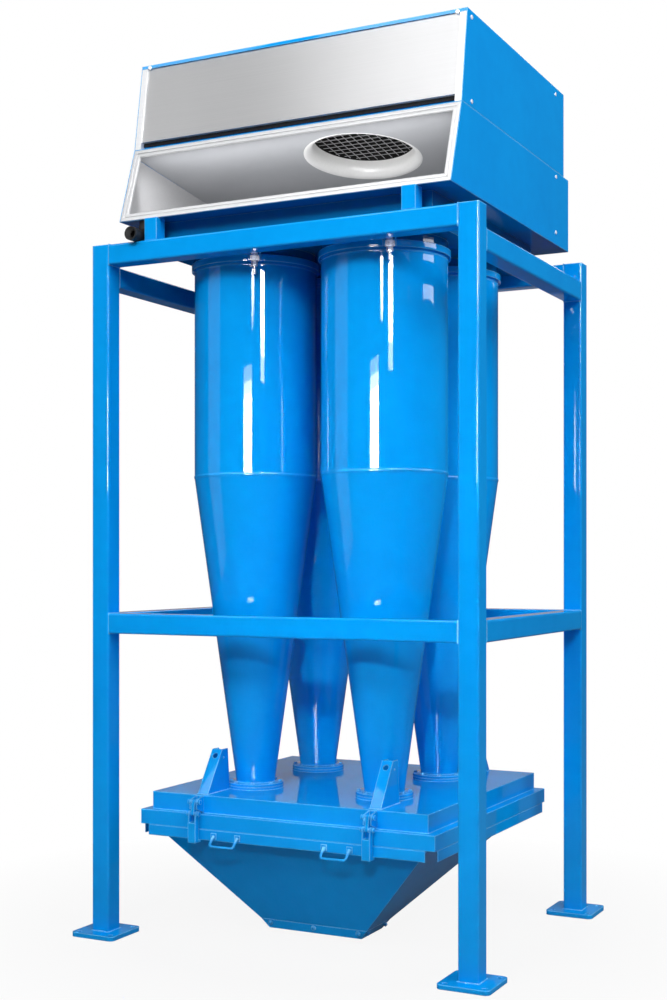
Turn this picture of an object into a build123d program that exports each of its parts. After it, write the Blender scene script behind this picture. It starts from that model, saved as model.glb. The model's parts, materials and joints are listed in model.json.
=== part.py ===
from build123d import *
import os
from math import atan2, degrees, hypot, radians, sqrt, tan

# Four cyclone separator on a steel stand, in millimetres
# +X is right and +Y is back as the front is faced, +Z is up, and the origin is the middle of the stand at floor level

# Stand, whose depth comes from the cyclones between its rails
FRAME_WIDTH = 1650.0
POST_TOP = 2750.0
TUBE = 80.0
TUBE_WALL = 4.0
TUBE_CORNER = 8.0
SIDE_RAIL_DROP = 80.0
MID_RAIL_TOP = 1284.0

# Foot plates
FOOT_SIZE = 200.0
FOOT_THICKNESS = 18.0
FOOT_CORNER = 20.0
FOOT_HOLE = 18.0
FOOT_HOLE_PITCH = 150.0

# Supports between the top rails and the head
SUPPORT_INSET = 158.0
SUPPORT_WIDTH = 56.0
SUPPORT_DEPTH = 60.0
SUPPORT_HEIGHT = 88.0
SUPPORT_PLATE = 6.0

# Head housing, two folded casings whose fronts lean out downwards
HEAD_WIDTH = 1420.0
LOWER_HEIGHT = 312.0
UPPER_HEIGHT = 355.0
LOWER_FRONT_SETBACK = 25.0
LOWER_LEAN = 104.0
UPPER_LEAN = 56.0
LOWER_OVERHANG = 100.0
UPPER_OVERHANG = 35.0
HEAD_SHEET = 3.0
SCREEN_SETBACK = 26.0
PANEL_SETBACK = 6.0
PANEL_SHEET = 2.0
PANEL_SIDE_STRIP = 26.0
PANEL_SLOT = 30.0
ROOF_LIP = 14.0

# Air inlet in the front of the lower casing
TRIM_WIDTH = 30.0
TRIM_DEPTH = 14.0
TRIM_STEP = 6.0
LINER_FRONT_DROP = 15.0
LINER_FALL = 7.0
LINER_DEPTH = 736.0
LINER_SHEET = 2.0
BELL_X = 175.0
BELL_SETBACK = 291.0
BELL_THROAT = 400.0
BELL_MOUTH = 470.0
BELL_FLARE_HEIGHT = 45.0
BELL_THROAT_HEIGHT = 20.0
BELL_WALL = 3.0
BELL_CLEARANCE = 0.3

# Drain elbow under the front left corner of the head
DRAIN_INSET = 95.0
DRAIN_SETBACK = 40.0
DRAIN_PIPE = 44.0
DRAIN_WALL = 4.0
DRAIN_SOCKET_WALL = 5.0
DRAIN_BEND = 42.0
DRAIN_SOCKET = 30.0
DRAIN_RAIL_GAP = 2.0

# Distribution chamber that the cyclones hang from
CHAMBER_DROP = 30.0
CHAMBER_SIDE_MARGIN = 65.0
CHAMBER_MARGIN = 12.0
CHAMBER_SHEET = 4.0
NECK_LENGTH = 48.0
NECK_FLANGE_THICKNESS = 6.0

# Cyclones, two by two, with gaps between their clamp rings and before the rear rail
CYCLONE_GROUP_Y = 16.0
CYCLONE_COLUMN_GAP = 59.4
CYCLONE_ROW_GAP = 31.4
CYCLONE_RAIL_GAP = 18.0
CYCLONE_RADIUS = 247.0
CYCLONE_SHEET = 3.0
BARREL_LENGTH = 842.0
CONE_BOTTOM_RADIUS = 76.0
OUTLET_FLANGE_RADIUS = 112.0
OUTLET_FLANGE_THICKNESS = 12.0
TOP_FLANGE_REACH = 8.0
TOP_FLANGE_THICKNESS = 6.0
SEAM_BEAD_REACH = 2.0
SEAM_BEAD_HEIGHT = 8.0

# Clamp rings
CLAMP_HEIGHT = 28.0
CLAMP_SHEET = 3.0
CLAMP_CLEARANCE = 0.3
CLAMP_EAR = 24.0
CLAMP_EAR_HEIGHT = 34.0
CLAMP_EAR_THICKNESS = 6.0
CLAMP_EAR_GAP = 36.0
CLAMP_FRONT_TURN = 29.0
CLAMP_REAR_TURN = 0.0

# Hopper cover
COVER_TOP = 577.0
COVER_STEP = 69.0
BAND_HEIGHT = 58.0
COVER_SIDE_MARGIN = 307.0
COVER_FRONT_MARGIN = 285.0
COVER_REAR_MARGIN = 325.0
BAND_REACH = 28.0
BAND_SIDE_REACH = 38.0
COVER_SHEET = 4.0

# Dust hopper
HOPPER_SHEET = 4.0
HOPPER_LIP = 41.0
HOPPER_LIP_PROUD = 3.0
OUTLET_WIDTH = 470.0
OUTLET_FRONT = -306.0
OUTLET_REAR = -88.0
CAP_BOTTOM = 22.0
CAP_HEIGHT = 38.0
CAP_TAPER = 15.0
CAP_SHEET = 4.0

# Lifting lugs on the cover
LUG_BESIDE = 86.0
LUG_WIDTH = 46.0
LUG_HEIGHT = 165.0
LUG_SETBACK = 18.0
LUG_FLANGE_GAP = 5.3
LUG_LEAN = 110.0
LUG_TOP = 43.0
LUG_PLATE = 6.0
LUG_HOLE = 22.0
LUG_HOLE_DROP = 24.0

# Bow handles on the hopper lip
HANDLE_X = 240.0
HANDLE_WIDTH = 106.0
HANDLE_ROD = 10.0
HANDLE_REACH = 32.0
HANDLE_DROP = 34.0
HANDLE_BELOW_BAND = 10.0
HANDLE_BEND = 12.0
HANDLE_PAD = 24.0
HANDLE_PAD_THICKNESS = 3.0

# Toggle latches, in line with the lugs
LATCH_EAR_OUTER = 34.0
LATCH_EAR_THICKNESS = 5.0
LATCH_EAR_RADIUS = 12.0
LATCH_EAR_DROP = 27.0
LATCH_EAR_TOP_DROP = 2.0
LATCH_EAR_LEDGE_GAP = 4.0
LATCH_BASE_THICKNESS = 5.0
LATCH_PIN_REACH = 12.0
LATCH_PIN_DROP = 21.0
LATCH_LINK_OUT = 9.0
LATCH_LINK_DROP = 44.0
LATCH_PIN_RADIUS = 6.0
LATCH_PIN_CLEARANCE = 0.1
LATCH_HEAD_RADIUS = 10.0
LATCH_HEAD_THICKNESS = 9.0
LATCH_HEAD_GAP = 1.0
LATCH_BAR_WIDTH = 14.0
LATCH_BAR_RADIUS = 10.0
LATCH_CHEEK_RADIUS = 11.0
LATCH_CHEEK_DROP = 34.0
LATCH_CHANNEL_INNER = 9.0
LATCH_CHANNEL_DEPTH = 27.0
LATCH_SHEET = 4.0
LATCH_TOE_HEIGHT = 9.0
LATCH_TOE_REACH = 7.0
LATCH_SEAT_GAP = 0.3

OVERRUN = 20.0

# Places worked out from the sizes above
CLAMP_INNER = CYCLONE_RADIUS + TOP_FLANGE_REACH + CLAMP_CLEARANCE
CLAMP_OUTER = CLAMP_INNER + CLAMP_SHEET
CYCLONE_X = CLAMP_OUTER + CYCLONE_COLUMN_GAP / 2
CYCLONE_FRONT_Y = CYCLONE_GROUP_Y - CLAMP_OUTER - CYCLONE_ROW_GAP / 2
CYCLONE_REAR_Y = CYCLONE_GROUP_Y + CLAMP_OUTER + CYCLONE_ROW_GAP / 2
FRAME_DEPTH = 2 * (CYCLONE_REAR_Y + CYCLONE_RADIUS + CYCLONE_RAIL_GAP + TUBE)
POST_X = FRAME_WIDTH / 2 - TUBE / 2
POST_Y = FRAME_DEPTH / 2 - TUBE / 2
RAIL_LENGTH_X = FRAME_WIDTH - 2 * TUBE
RAIL_LENGTH_Y = FRAME_DEPTH - 2 * TUBE
HEAD_BOTTOM = POST_TOP + SUPPORT_HEIGHT
HEAD_SEAM = HEAD_BOTTOM + LOWER_HEIGHT
HEAD_TOP = HEAD_SEAM + UPPER_HEIGHT
HEAD_FRONT_BOTTOM = -FRAME_DEPTH / 2 + LOWER_FRONT_SETBACK
HEAD_FRONT_SEAM = HEAD_FRONT_BOTTOM + LOWER_LEAN
LINER_REAR = HEAD_FRONT_SEAM + LINER_DEPTH
BELL_Y = HEAD_FRONT_SEAM + BELL_SETBACK
LOWER_REAR = FRAME_DEPTH / 2 + LOWER_OVERHANG
UPPER_REAR = FRAME_DEPTH / 2 + UPPER_OVERHANG
SUPPORT_X = HEAD_WIDTH / 2 - SUPPORT_INSET
DRAIN_X = -HEAD_WIDTH / 2 + DRAIN_INSET
DRAIN_Y = HEAD_FRONT_BOTTOM + DRAIN_SETBACK
DRAIN_BORE = DRAIN_PIPE / 2 - DRAIN_WALL
CHAMBER_HALF = CYCLONE_X + CYCLONE_RADIUS + CHAMBER_SIDE_MARGIN
CHAMBER_FRONT = CYCLONE_FRONT_Y - CYCLONE_RADIUS - CHAMBER_MARGIN
CHAMBER_REAR = CYCLONE_REAR_Y + CYCLONE_RADIUS + CHAMBER_MARGIN
CHAMBER_BOTTOM = POST_TOP - CHAMBER_DROP
BARREL_TOP = CHAMBER_BOTTOM - NECK_LENGTH
CONE_TOP = BARREL_TOP - BARREL_LENGTH
CONE_BOTTOM = COVER_TOP + OUTLET_FLANGE_THICKNESS
COVER_HALF = CYCLONE_X + COVER_SIDE_MARGIN
COVER_FRONT = CYCLONE_FRONT_Y - COVER_FRONT_MARGIN
COVER_REAR = CYCLONE_REAR_Y + COVER_REAR_MARGIN
COVER_LEDGE = COVER_TOP - COVER_STEP
COVER_BOTTOM = COVER_LEDGE - BAND_HEIGHT
LIP_BOTTOM = COVER_BOTTOM - HOPPER_LIP
OUTLET_TOP = CAP_BOTTOM + CAP_HEIGHT
BAND_FRONT = COVER_FRONT - BAND_REACH
BAND_REAR = COVER_REAR + BAND_REACH
BAND_HALF = COVER_HALF + BAND_SIDE_REACH
LIP_FRONT = BAND_FRONT - HOPPER_LIP_PROUD
LIP_REAR = BAND_REAR + HOPPER_LIP_PROUD
LUG_X = CYCLONE_X + LUG_BESIDE
LATCH_X = LUG_X
FLANGE_REACH_AT_LUG = sqrt((OUTLET_FLANGE_RADIUS + LUG_FLANGE_GAP) ** 2 - (LUG_BESIDE - LUG_WIDTH / 2) ** 2)
LUG_FOOT = CYCLONE_FRONT_Y - FLANGE_REACH_AT_LUG - COVER_FRONT - LUG_SETBACK
CYCLONES = {
    "front_left": (-CYCLONE_X, CYCLONE_FRONT_Y, CLAMP_FRONT_TURN),
    "front_right": (CYCLONE_X, CYCLONE_FRONT_Y, CLAMP_FRONT_TURN),
    "rear_left": (-CYCLONE_X, CYCLONE_REAR_Y, CLAMP_REAR_TURN),
    "rear_right": (CYCLONE_X, CYCLONE_REAR_Y, CLAMP_REAR_TURN),
}
CORNERS = {
    "front_left": (-1, -1),
    "front_right": (1, -1),
    "rear_left": (-1, 1),
    "rear_right": (1, 1),
}


def block(x0, x1, y0, y1, z0, z1):
    """Box between two corners."""
    middle = ((x0 + x1) / 2, (y0 + y1) / 2, (z0 + z1) / 2)
    return Pos(*middle) * Box(abs(x1 - x0), abs(y1 - y0), abs(z1 - z0))


def disc(x, y, z0, z1, radius):
    """Upright cylinder between two heights."""
    return Pos(x, y, (z0 + z1) / 2) * Cylinder(radius, z1 - z0)


def side_profile(points, x0, x1):
    """Closed outline in Y and Z, extruded from x0 to x1."""
    outline = make_face(Polyline(*[(y, z) for y, z in points], close=True))
    return Pos(x0, 0, 0) * extrude(Plane.YZ * outline, x1 - x0)


def square_tube(length):
    """Hollow square tube with rounded corners, standing on its end."""
    outer = RectangleRounded(TUBE, TUBE, TUBE_CORNER)
    inside = TUBE - 2 * TUBE_WALL
    inner = RectangleRounded(inside, inside, TUBE_CORNER - TUBE_WALL)
    return extrude(outer - inner, length)


# Stand

def post(side, row):
    """Corner post, closed at the top by a welded plate."""
    length = POST_TOP - FOOT_THICKNESS
    tube = square_tube(length)
    inside = TUBE - TUBE_WALL
    tube += block(-inside / 2, inside / 2, -inside / 2, inside / 2, length - TUBE_WALL, length)
    return Pos(side * POST_X, row * POST_Y, FOOT_THICKNESS) * tube


def foot_plate(side, row):
    """Square base plate with a hole near each corner."""
    plate = extrude(RectangleRounded(FOOT_SIZE, FOOT_SIZE, FOOT_CORNER), FOOT_THICKNESS)
    for x in (-1, 1):
        for y in (-1, 1):
            plate -= disc(
                x * FOOT_HOLE_PITCH / 2, y * FOOT_HOLE_PITCH / 2,
                -OVERRUN, FOOT_THICKNESS + OVERRUN, FOOT_HOLE / 2,
            )
    return Pos(side * POST_X, row * POST_Y, 0) * plate


def rail_across(row, top):
    """Rail between the two posts of the front or the rear."""
    return Pos(-RAIL_LENGTH_X / 2, row * POST_Y, top - TUBE / 2) * Rot(0, 90, 0) * square_tube(RAIL_LENGTH_X)


def rail_along(side, top):
    """Rail between the front and rear posts of one side."""
    return Pos(side * POST_X, RAIL_LENGTH_Y / 2, top - TUBE / 2) * Rot(90, 0, 0) * square_tube(RAIL_LENGTH_Y)


# Head

def front_at(height):
    """Y of the head's leaning front at a height."""
    if height <= HEAD_SEAM:
        share = (height - HEAD_BOTTOM) / LOWER_HEIGHT
        return HEAD_FRONT_BOTTOM + share * LOWER_LEAN
    share = (height - HEAD_SEAM) / UPPER_HEIGHT
    return HEAD_FRONT_SEAM + share * UPPER_LEAN


def upper_housing():
    """Upper casing: sides, rear, roof with its front lip, and a screen sheet behind the panel."""
    half = HEAD_WIDTH / 2
    t = HEAD_SHEET
    outline = [
        (front_at(HEAD_SEAM), HEAD_SEAM),
        (UPPER_REAR, HEAD_SEAM),
        (UPPER_REAR, HEAD_TOP),
        (front_at(HEAD_TOP), HEAD_TOP),
    ]
    casing = side_profile(outline, -half, half)
    screen = SCREEN_SETBACK + t
    inside = [
        (front_at(HEAD_SEAM) + screen, HEAD_SEAM - OVERRUN),
        (UPPER_REAR - t, HEAD_SEAM - OVERRUN),
        (UPPER_REAR - t, HEAD_TOP - t),
        (front_at(HEAD_TOP) + screen, HEAD_TOP - t),
    ]
    casing -= side_profile(inside, -half + t, half - t)
    face = [
        (front_at(HEAD_SEAM) - OVERRUN, HEAD_SEAM - OVERRUN),
        (front_at(HEAD_SEAM) + SCREEN_SETBACK, HEAD_SEAM - OVERRUN),
        (front_at(HEAD_TOP) + SCREEN_SETBACK, HEAD_TOP - t),
        (front_at(HEAD_TOP) + t, HEAD_TOP - t),
        (front_at(HEAD_TOP - ROOF_LIP) + t, HEAD_TOP - ROOF_LIP),
        (front_at(HEAD_TOP - ROOF_LIP) - OVERRUN, HEAD_TOP - ROOF_LIP),
    ]
    return casing - side_profile(face, -half + t, half - t)


def leaning_sheet(z0, z1, y0, y1, x0, x1):
    """Sheet parallel to the head's front, from y0 to y1 behind it."""
    outline = [
        (front_at(z0) + y0, z0),
        (front_at(z0) + y1, z0),
        (front_at(z1) + y1, z1),
        (front_at(z1) + y0, z1),
    ]
    return side_profile(outline, x0, x1)


def front_panel():
    """Plain sheet panel in the upper front, with folded returns back to the screen."""
    half = HEAD_WIDTH / 2 - HEAD_SHEET - PANEL_SIDE_STRIP
    z0 = HEAD_SEAM + PANEL_SLOT
    z1 = HEAD_TOP - ROOF_LIP
    panel = leaning_sheet(z0, z1, PANEL_SETBACK, SCREEN_SETBACK, -half, half)
    hollow = leaning_sheet(
        z0 + PANEL_SHEET, z1 - PANEL_SHEET,
        PANEL_SETBACK + PANEL_SHEET, SCREEN_SETBACK + OVERRUN,
        -half + PANEL_SHEET, half - PANEL_SHEET,
    )
    return panel - hollow


def panel_side_strip(side):
    """Upright strip beside the panel."""
    outer = HEAD_WIDTH / 2 - HEAD_SHEET
    edges = sorted((side * outer, side * (outer - PANEL_SIDE_STRIP)))
    return leaning_sheet(HEAD_SEAM, HEAD_TOP - ROOF_LIP, 0, SCREEN_SETBACK, *edges)


def lower_side_wall(side):
    """Side sheet of the lower casing."""
    outer = HEAD_WIDTH / 2
    edges = sorted((side * outer, side * (outer - HEAD_SHEET)))
    outline = [
        (HEAD_FRONT_BOTTOM, HEAD_BOTTOM),
        (LOWER_REAR, HEAD_BOTTOM),
        (LOWER_REAR, HEAD_SEAM),
        (HEAD_FRONT_SEAM, HEAD_SEAM),
    ]
    return side_profile(outline, *edges)


def lower_deck():
    """Top sheet of the lower casing, folded down into its rear wall, with the bell's hole."""
    half = HEAD_WIDTH / 2 - HEAD_SHEET
    t = HEAD_SHEET
    outline = [
        (front_at(HEAD_SEAM), HEAD_SEAM),
        (LOWER_REAR, HEAD_SEAM),
        (LOWER_REAR, HEAD_BOTTOM),
        (LOWER_REAR - t, HEAD_BOTTOM),
        (LOWER_REAR - t, HEAD_SEAM - t),
        (front_at(HEAD_SEAM - t), HEAD_SEAM - t),
    ]
    sheet = side_profile(outline, -half, half)
    return sheet - disc(BELL_X, BELL_Y, HEAD_SEAM - OVERRUN, HEAD_SEAM + OVERRUN, BELL_MOUTH / 2)


def lower_floor():
    """Floor sheet of the head, which rests on the supports and carries the chamber."""
    half = HEAD_WIDTH / 2 - HEAD_SHEET
    z1 = HEAD_BOTTOM + HEAD_SHEET
    outline = [
        (front_at(HEAD_BOTTOM), HEAD_BOTTOM),
        (LOWER_REAR - HEAD_SHEET, HEAD_BOTTOM),
        (LOWER_REAR - HEAD_SHEET, z1),
        (front_at(z1), z1),
    ]
    sheet = side_profile(outline, -half, half)
    return sheet - disc(DRAIN_X, DRAIN_Y, HEAD_BOTTOM - OVERRUN, z1 + OVERRUN, DRAIN_BORE)


LINER_START = HEAD_SEAM - LINER_FRONT_DROP - TRIM_WIDTH / 2
LINER_FRONT = front_at(LINER_START + LINER_SHEET) + TRIM_DEPTH


def liner_height(y):
    """Underside height of the sloping inlet ceiling."""
    return LINER_START - (y - LINER_FRONT) * tan(radians(LINER_FALL))


def at_bell(shape):
    """Shape drawn about the bell's axis, set square to the sloping ceiling."""
    return Pos(BELL_X, BELL_Y, liner_height(BELL_Y)) * Rot(-LINER_FALL, 0, 0) * shape


def inlet_liner():
    """Sloping ceiling of the inlet, folded down into its back wall, with the bell's hole."""
    half = HEAD_WIDTH / 2 - HEAD_SHEET
    t = LINER_SHEET
    y0 = LINER_FRONT
    y1 = LINER_REAR
    floor = HEAD_BOTTOM + HEAD_SHEET
    outline = [
        (y0, liner_height(y0)),
        (y0, liner_height(y0) + t),
        (y1, liner_height(y1) + t),
        (y1, floor),
        (y1 - t, floor),
        (y1 - t, liner_height(y1 - t)),
    ]
    sheet = side_profile(outline, -half, half)
    return sheet - at_bell(Cylinder(BELL_MOUTH / 2 + BELL_CLEARANCE, OVERRUN))


def inlet_bell():
    """Inlet bell whose mouth lies flush in the ceiling and whose throat rises behind it."""
    throat = BELL_THROAT / 2
    mouth = BELL_MOUTH / 2
    z1 = BELL_FLARE_HEIGHT
    z2 = z1 + BELL_THROAT_HEIGHT
    profile = Polyline(
        (mouth - BELL_WALL, 0),
        (mouth, 0),
        (mouth, LINER_SHEET),
        (throat + BELL_WALL, z1),
        (throat + BELL_WALL, z2),
        (throat, z2),
        (throat, z1),
        close=True,
    )
    return at_bell(revolve(Plane.XZ * make_face(profile), Axis.Z))


def inlet_trim():
    """Stepped frame round the inlet, its outer half proud of its inner half."""
    half = HEAD_WIDTH / 2 - HEAD_SHEET
    z0 = HEAD_BOTTOM + HEAD_SHEET
    z1 = HEAD_SEAM - HEAD_SHEET
    frame = leaning_sheet(z0, z1, 0, TRIM_DEPTH, -half, half)
    inner = half - TRIM_WIDTH
    frame -= leaning_sheet(
        z0 + TRIM_WIDTH, z1 - TRIM_WIDTH,
        -OVERRUN, TRIM_DEPTH + OVERRUN, -inner, inner,
    )
    step = TRIM_WIDTH / 2
    return frame - leaning_sheet(z0 + step, z1 - step, -OVERRUN, TRIM_STEP, -half + step, half - step)


def head_support(side, row):
    """Channel bracket that stands on a top rail and carries the head."""
    y = row * POST_Y
    x = side * SUPPORT_X
    outer = Box(SUPPORT_WIDTH, SUPPORT_DEPTH, SUPPORT_HEIGHT)
    inner = Box(SUPPORT_WIDTH - 2 * SUPPORT_PLATE, SUPPORT_DEPTH, SUPPORT_HEIGHT - 2 * SUPPORT_PLATE)
    shell = outer - Pos(0, -row * SUPPORT_PLATE, 0) * inner
    return Pos(x, y, (HEAD_BOTTOM + POST_TOP) / 2) * shell


BEHIND = (Align.CENTER, Align.CENTER, Align.MAX)


def drain_elbow():
    """Pipe elbow from the head's floor, turned forward and ending in an open socket."""
    z = POST_TOP + DRAIN_RAIL_GAP + DRAIN_PIPE / 2
    shoulder = DRAIN_SOCKET + DRAIN_SOCKET_WALL
    mouth_y = -FRAME_DEPTH / 2 - DRAIN_RAIL_GAP - shoulder
    path = FilletPolyline(
        (DRAIN_X, DRAIN_Y, HEAD_BOTTOM),
        (DRAIN_X, DRAIN_Y, z),
        (DRAIN_X, mouth_y, z),
        radius=DRAIN_BEND,
    )
    start = Plane(origin=(DRAIN_X, DRAIN_Y, HEAD_BOTTOM), z_dir=(0, 0, -1))
    pipe = DRAIN_PIPE / 2
    mouth = Pos(DRAIN_X, mouth_y, z) * Rot(90, 0, 0)
    socket = mouth * Cylinder(pipe + DRAIN_SOCKET_WALL, shoulder, align=BEHIND)
    outer = sweep(start * Circle(pipe), path) + socket
    inner = sweep(start * Circle(DRAIN_BORE), path)
    return outer - inner - mouth * Cylinder(pipe, DRAIN_SOCKET, align=BEHIND)


# Cyclones

def chamber():
    """Chamber under the head: floor and walls, with a neck and flange for each cyclone."""
    half = CHAMBER_HALF
    t = CHAMBER_SHEET
    body = block(-half, half, CHAMBER_FRONT, CHAMBER_REAR, CHAMBER_BOTTOM, HEAD_BOTTOM)
    body -= block(
        -half + t, half - t, CHAMBER_FRONT + t, CHAMBER_REAR - t,
        CHAMBER_BOTTOM + t, HEAD_BOTTOM + OVERRUN,
    )
    inner = CYCLONE_RADIUS - CYCLONE_SHEET
    for x, y, turn in CYCLONES.values():
        body += disc(x, y, BARREL_TOP, CHAMBER_BOTTOM, CYCLONE_RADIUS)
        body += disc(
            x, y, BARREL_TOP, BARREL_TOP + NECK_FLANGE_THICKNESS,
            CYCLONE_RADIUS + TOP_FLANGE_REACH,
        )
        body -= disc(x, y, BARREL_TOP - OVERRUN, CHAMBER_BOTTOM + t, inner)
    return body


def cyclone(x, y):
    """Sheet barrel and cone in one turned shell, flanged at both ends."""
    r = CYCLONE_RADIUS
    t = CYCLONE_SHEET
    outlet = CONE_BOTTOM_RADIUS
    reach = OUTLET_FLANGE_RADIUS
    flange_top = CONE_BOTTOM + OUTLET_FLANGE_THICKNESS
    bead = SEAM_BEAD_HEIGHT / 2
    profile = Polyline(
        (outlet - t, CONE_BOTTOM),
        (reach, CONE_BOTTOM),
        (reach, flange_top),
        (outlet, flange_top),
        (r, CONE_TOP - bead),
        (r + SEAM_BEAD_REACH, CONE_TOP),
        (r, CONE_TOP + bead),
        (r, BARREL_TOP - TOP_FLANGE_THICKNESS),
        (r + TOP_FLANGE_REACH, BARREL_TOP - TOP_FLANGE_THICKNESS),
        (r + TOP_FLANGE_REACH, BARREL_TOP),
        (r - t, BARREL_TOP),
        (r - t, CONE_TOP),
        close=True,
    )
    shell = revolve(Plane.XZ * make_face(profile), Axis.Z)
    return Pos(x, y, 0) * shell


def clamp_ring(x, y, turn):
    """Channel band round the two top flanges, with a pair of ears beside its upright closing bolt."""
    middle = BARREL_TOP
    z0 = middle - CLAMP_HEIGHT / 2
    z1 = middle + CLAMP_HEIGHT / 2
    barrel = CYCLONE_RADIUS + CLAMP_CLEARANCE
    flange_top = middle + NECK_FLANGE_THICKNESS + CLAMP_CLEARANCE
    flange_bottom = middle - TOP_FLANGE_THICKNESS - CLAMP_CLEARANCE
    profile = Polyline(
        (CLAMP_INNER, flange_bottom),
        (CLAMP_INNER, flange_top),
        (barrel, flange_top),
        (barrel, flange_top + CLAMP_SHEET),
        (CLAMP_OUTER, z1),
        (CLAMP_OUTER, z0),
        (barrel, flange_bottom - CLAMP_SHEET),
        (barrel, flange_bottom),
        close=True,
    )
    ring = revolve(Plane.XZ * make_face(profile), Axis.Z)
    for side in (-1, 1):
        gap = side * (CLAMP_EAR_GAP + CLAMP_EAR_THICKNESS) / 2
        ear = Box(CLAMP_EAR_THICKNESS, CLAMP_EAR + CLAMP_SHEET, CLAMP_EAR_HEIGHT)
        ring += Pos(gap, -CLAMP_OUTER - CLAMP_EAR / 2 + CLAMP_SHEET / 2, middle) * ear
    return Pos(x, y, 0) * Rot(0, 0, turn) * ring


# Hopper

def hopper_cover():
    """Shallow lid with a wider band, open below, and a flange ring for each cyclone."""
    t = COVER_SHEET
    half = COVER_HALF
    body = block(-half, half, COVER_FRONT, COVER_REAR, COVER_BOTTOM, COVER_TOP)
    body += block(-BAND_HALF, BAND_HALF, BAND_FRONT, BAND_REAR, COVER_BOTTOM, COVER_LEDGE)
    body -= block(
        -half + t, half - t, COVER_FRONT + t, COVER_REAR - t,
        COVER_BOTTOM - OVERRUN, COVER_TOP - t,
    )
    body -= block(
        -BAND_HALF + t, BAND_HALF - t, BAND_FRONT + t, BAND_REAR - t,
        COVER_BOTTOM + t, COVER_LEDGE - t,
    )
    bore = CONE_BOTTOM_RADIUS - CYCLONE_SHEET
    for x, y, turn in CYCLONES.values():
        body += disc(x, y, COVER_TOP, CONE_BOTTOM, OUTLET_FLANGE_RADIUS)
        body -= disc(x, y, COVER_LEDGE, CONE_BOTTOM + OVERRUN, bore)
    return body


def tapered_box(top, bottom, z0, z1, inset):
    """Solid between a rectangle above and one below, both drawn in by an inset."""
    faces = []
    for (x, y0, y1), z in ((top, z1), (bottom, z0)):
        sheet = Rectangle(2 * (x - inset), y1 - y0 - 2 * inset)
        faces.append(Pos(0, (y0 + y1) / 2, z) * sheet)
    return loft(faces, ruled=True)


def hopper():
    """Sheet pyramid with an out-turned rim whose lips are notched at the corners."""
    t = HOPPER_SHEET
    top = (COVER_HALF, COVER_FRONT, COVER_REAR)
    bottom = (OUTLET_WIDTH / 2, OUTLET_FRONT, OUTLET_REAR)
    shell = tapered_box(top, bottom, OUTLET_TOP, COVER_BOTTOM, 0)
    x, y0, y1 = top
    rim = block(-BAND_HALF, BAND_HALF, LIP_FRONT, LIP_REAR, LIP_BOTTOM, COVER_BOTTOM)
    rim -= block(
        -BAND_HALF + t, BAND_HALF - t, LIP_FRONT + t, LIP_REAR - t,
        LIP_BOTTOM - OVERRUN, COVER_BOTTOM - t,
    )
    for side, row in CORNERS.values():
        corner_y = y0 if row < 0 else y1
        rim -= block(
            side * x, side * (BAND_HALF + OVERRUN),
            corner_y, corner_y + row * (BAND_REACH + OVERRUN),
            LIP_BOTTOM - OVERRUN, COVER_BOTTOM + OVERRUN,
        )
    shell += rim
    return shell - tapered_box(top, bottom, OUTLET_TOP, COVER_BOTTOM, t)


def outlet_cap():
    """Tapered tray bolted over the hopper's outlet."""
    t = CAP_SHEET
    top = (OUTLET_WIDTH / 2, OUTLET_FRONT, OUTLET_REAR)
    bottom = (OUTLET_WIDTH / 2 - 2 * CAP_TAPER, OUTLET_FRONT + CAP_TAPER, OUTLET_REAR - CAP_TAPER)
    tray = tapered_box(top, bottom, CAP_BOTTOM, OUTLET_TOP, 0)
    inside = tapered_box(top, bottom, CAP_BOTTOM, OUTLET_TOP, t)
    lid = block(-OUTLET_WIDTH, OUTLET_WIDTH, OUTLET_FRONT, OUTLET_REAR, CAP_BOTTOM, CAP_BOTTOM + t)
    return tray - (inside - lid)


def lifting_lug(side, row):
    """Leaning channel lug on the cover, with a hole through its front plate."""
    edge = COVER_FRONT if row < 0 else -COVER_REAR
    front = edge + LUG_SETBACK
    top = COVER_TOP + LUG_HEIGHT
    half = LUG_WIDTH / 2
    t = LUG_PLATE
    outline = [
        (front, COVER_TOP),
        (front + LUG_FOOT, COVER_TOP),
        (front + LUG_LEAN + LUG_TOP, top),
        (front + LUG_LEAN, top),
    ]
    inside = [
        (front + t, COVER_TOP),
        (front + LUG_FOOT + OVERRUN, COVER_TOP),
        (front + LUG_LEAN + LUG_TOP + OVERRUN, top),
        (front + LUG_LEAN + t, top),
    ]
    lug = side_profile(outline, -half, half) - side_profile(inside, -half + t, half - t)
    lean = degrees(atan2(LUG_LEAN, LUG_HEIGHT))
    hole_y = front + LUG_LEAN * (LUG_HEIGHT - LUG_HOLE_DROP) / LUG_HEIGHT
    hole = Pos(0, hole_y, top - LUG_HOLE_DROP) * Rot(90 - lean, 0, 0) * Cylinder(LUG_HOLE / 2, LUG_TOP)
    lug = Pos(side * LUG_X, 0, 0) * (lug - hole)
    return lug if row < 0 else mirror(lug, Plane.XZ)


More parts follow.
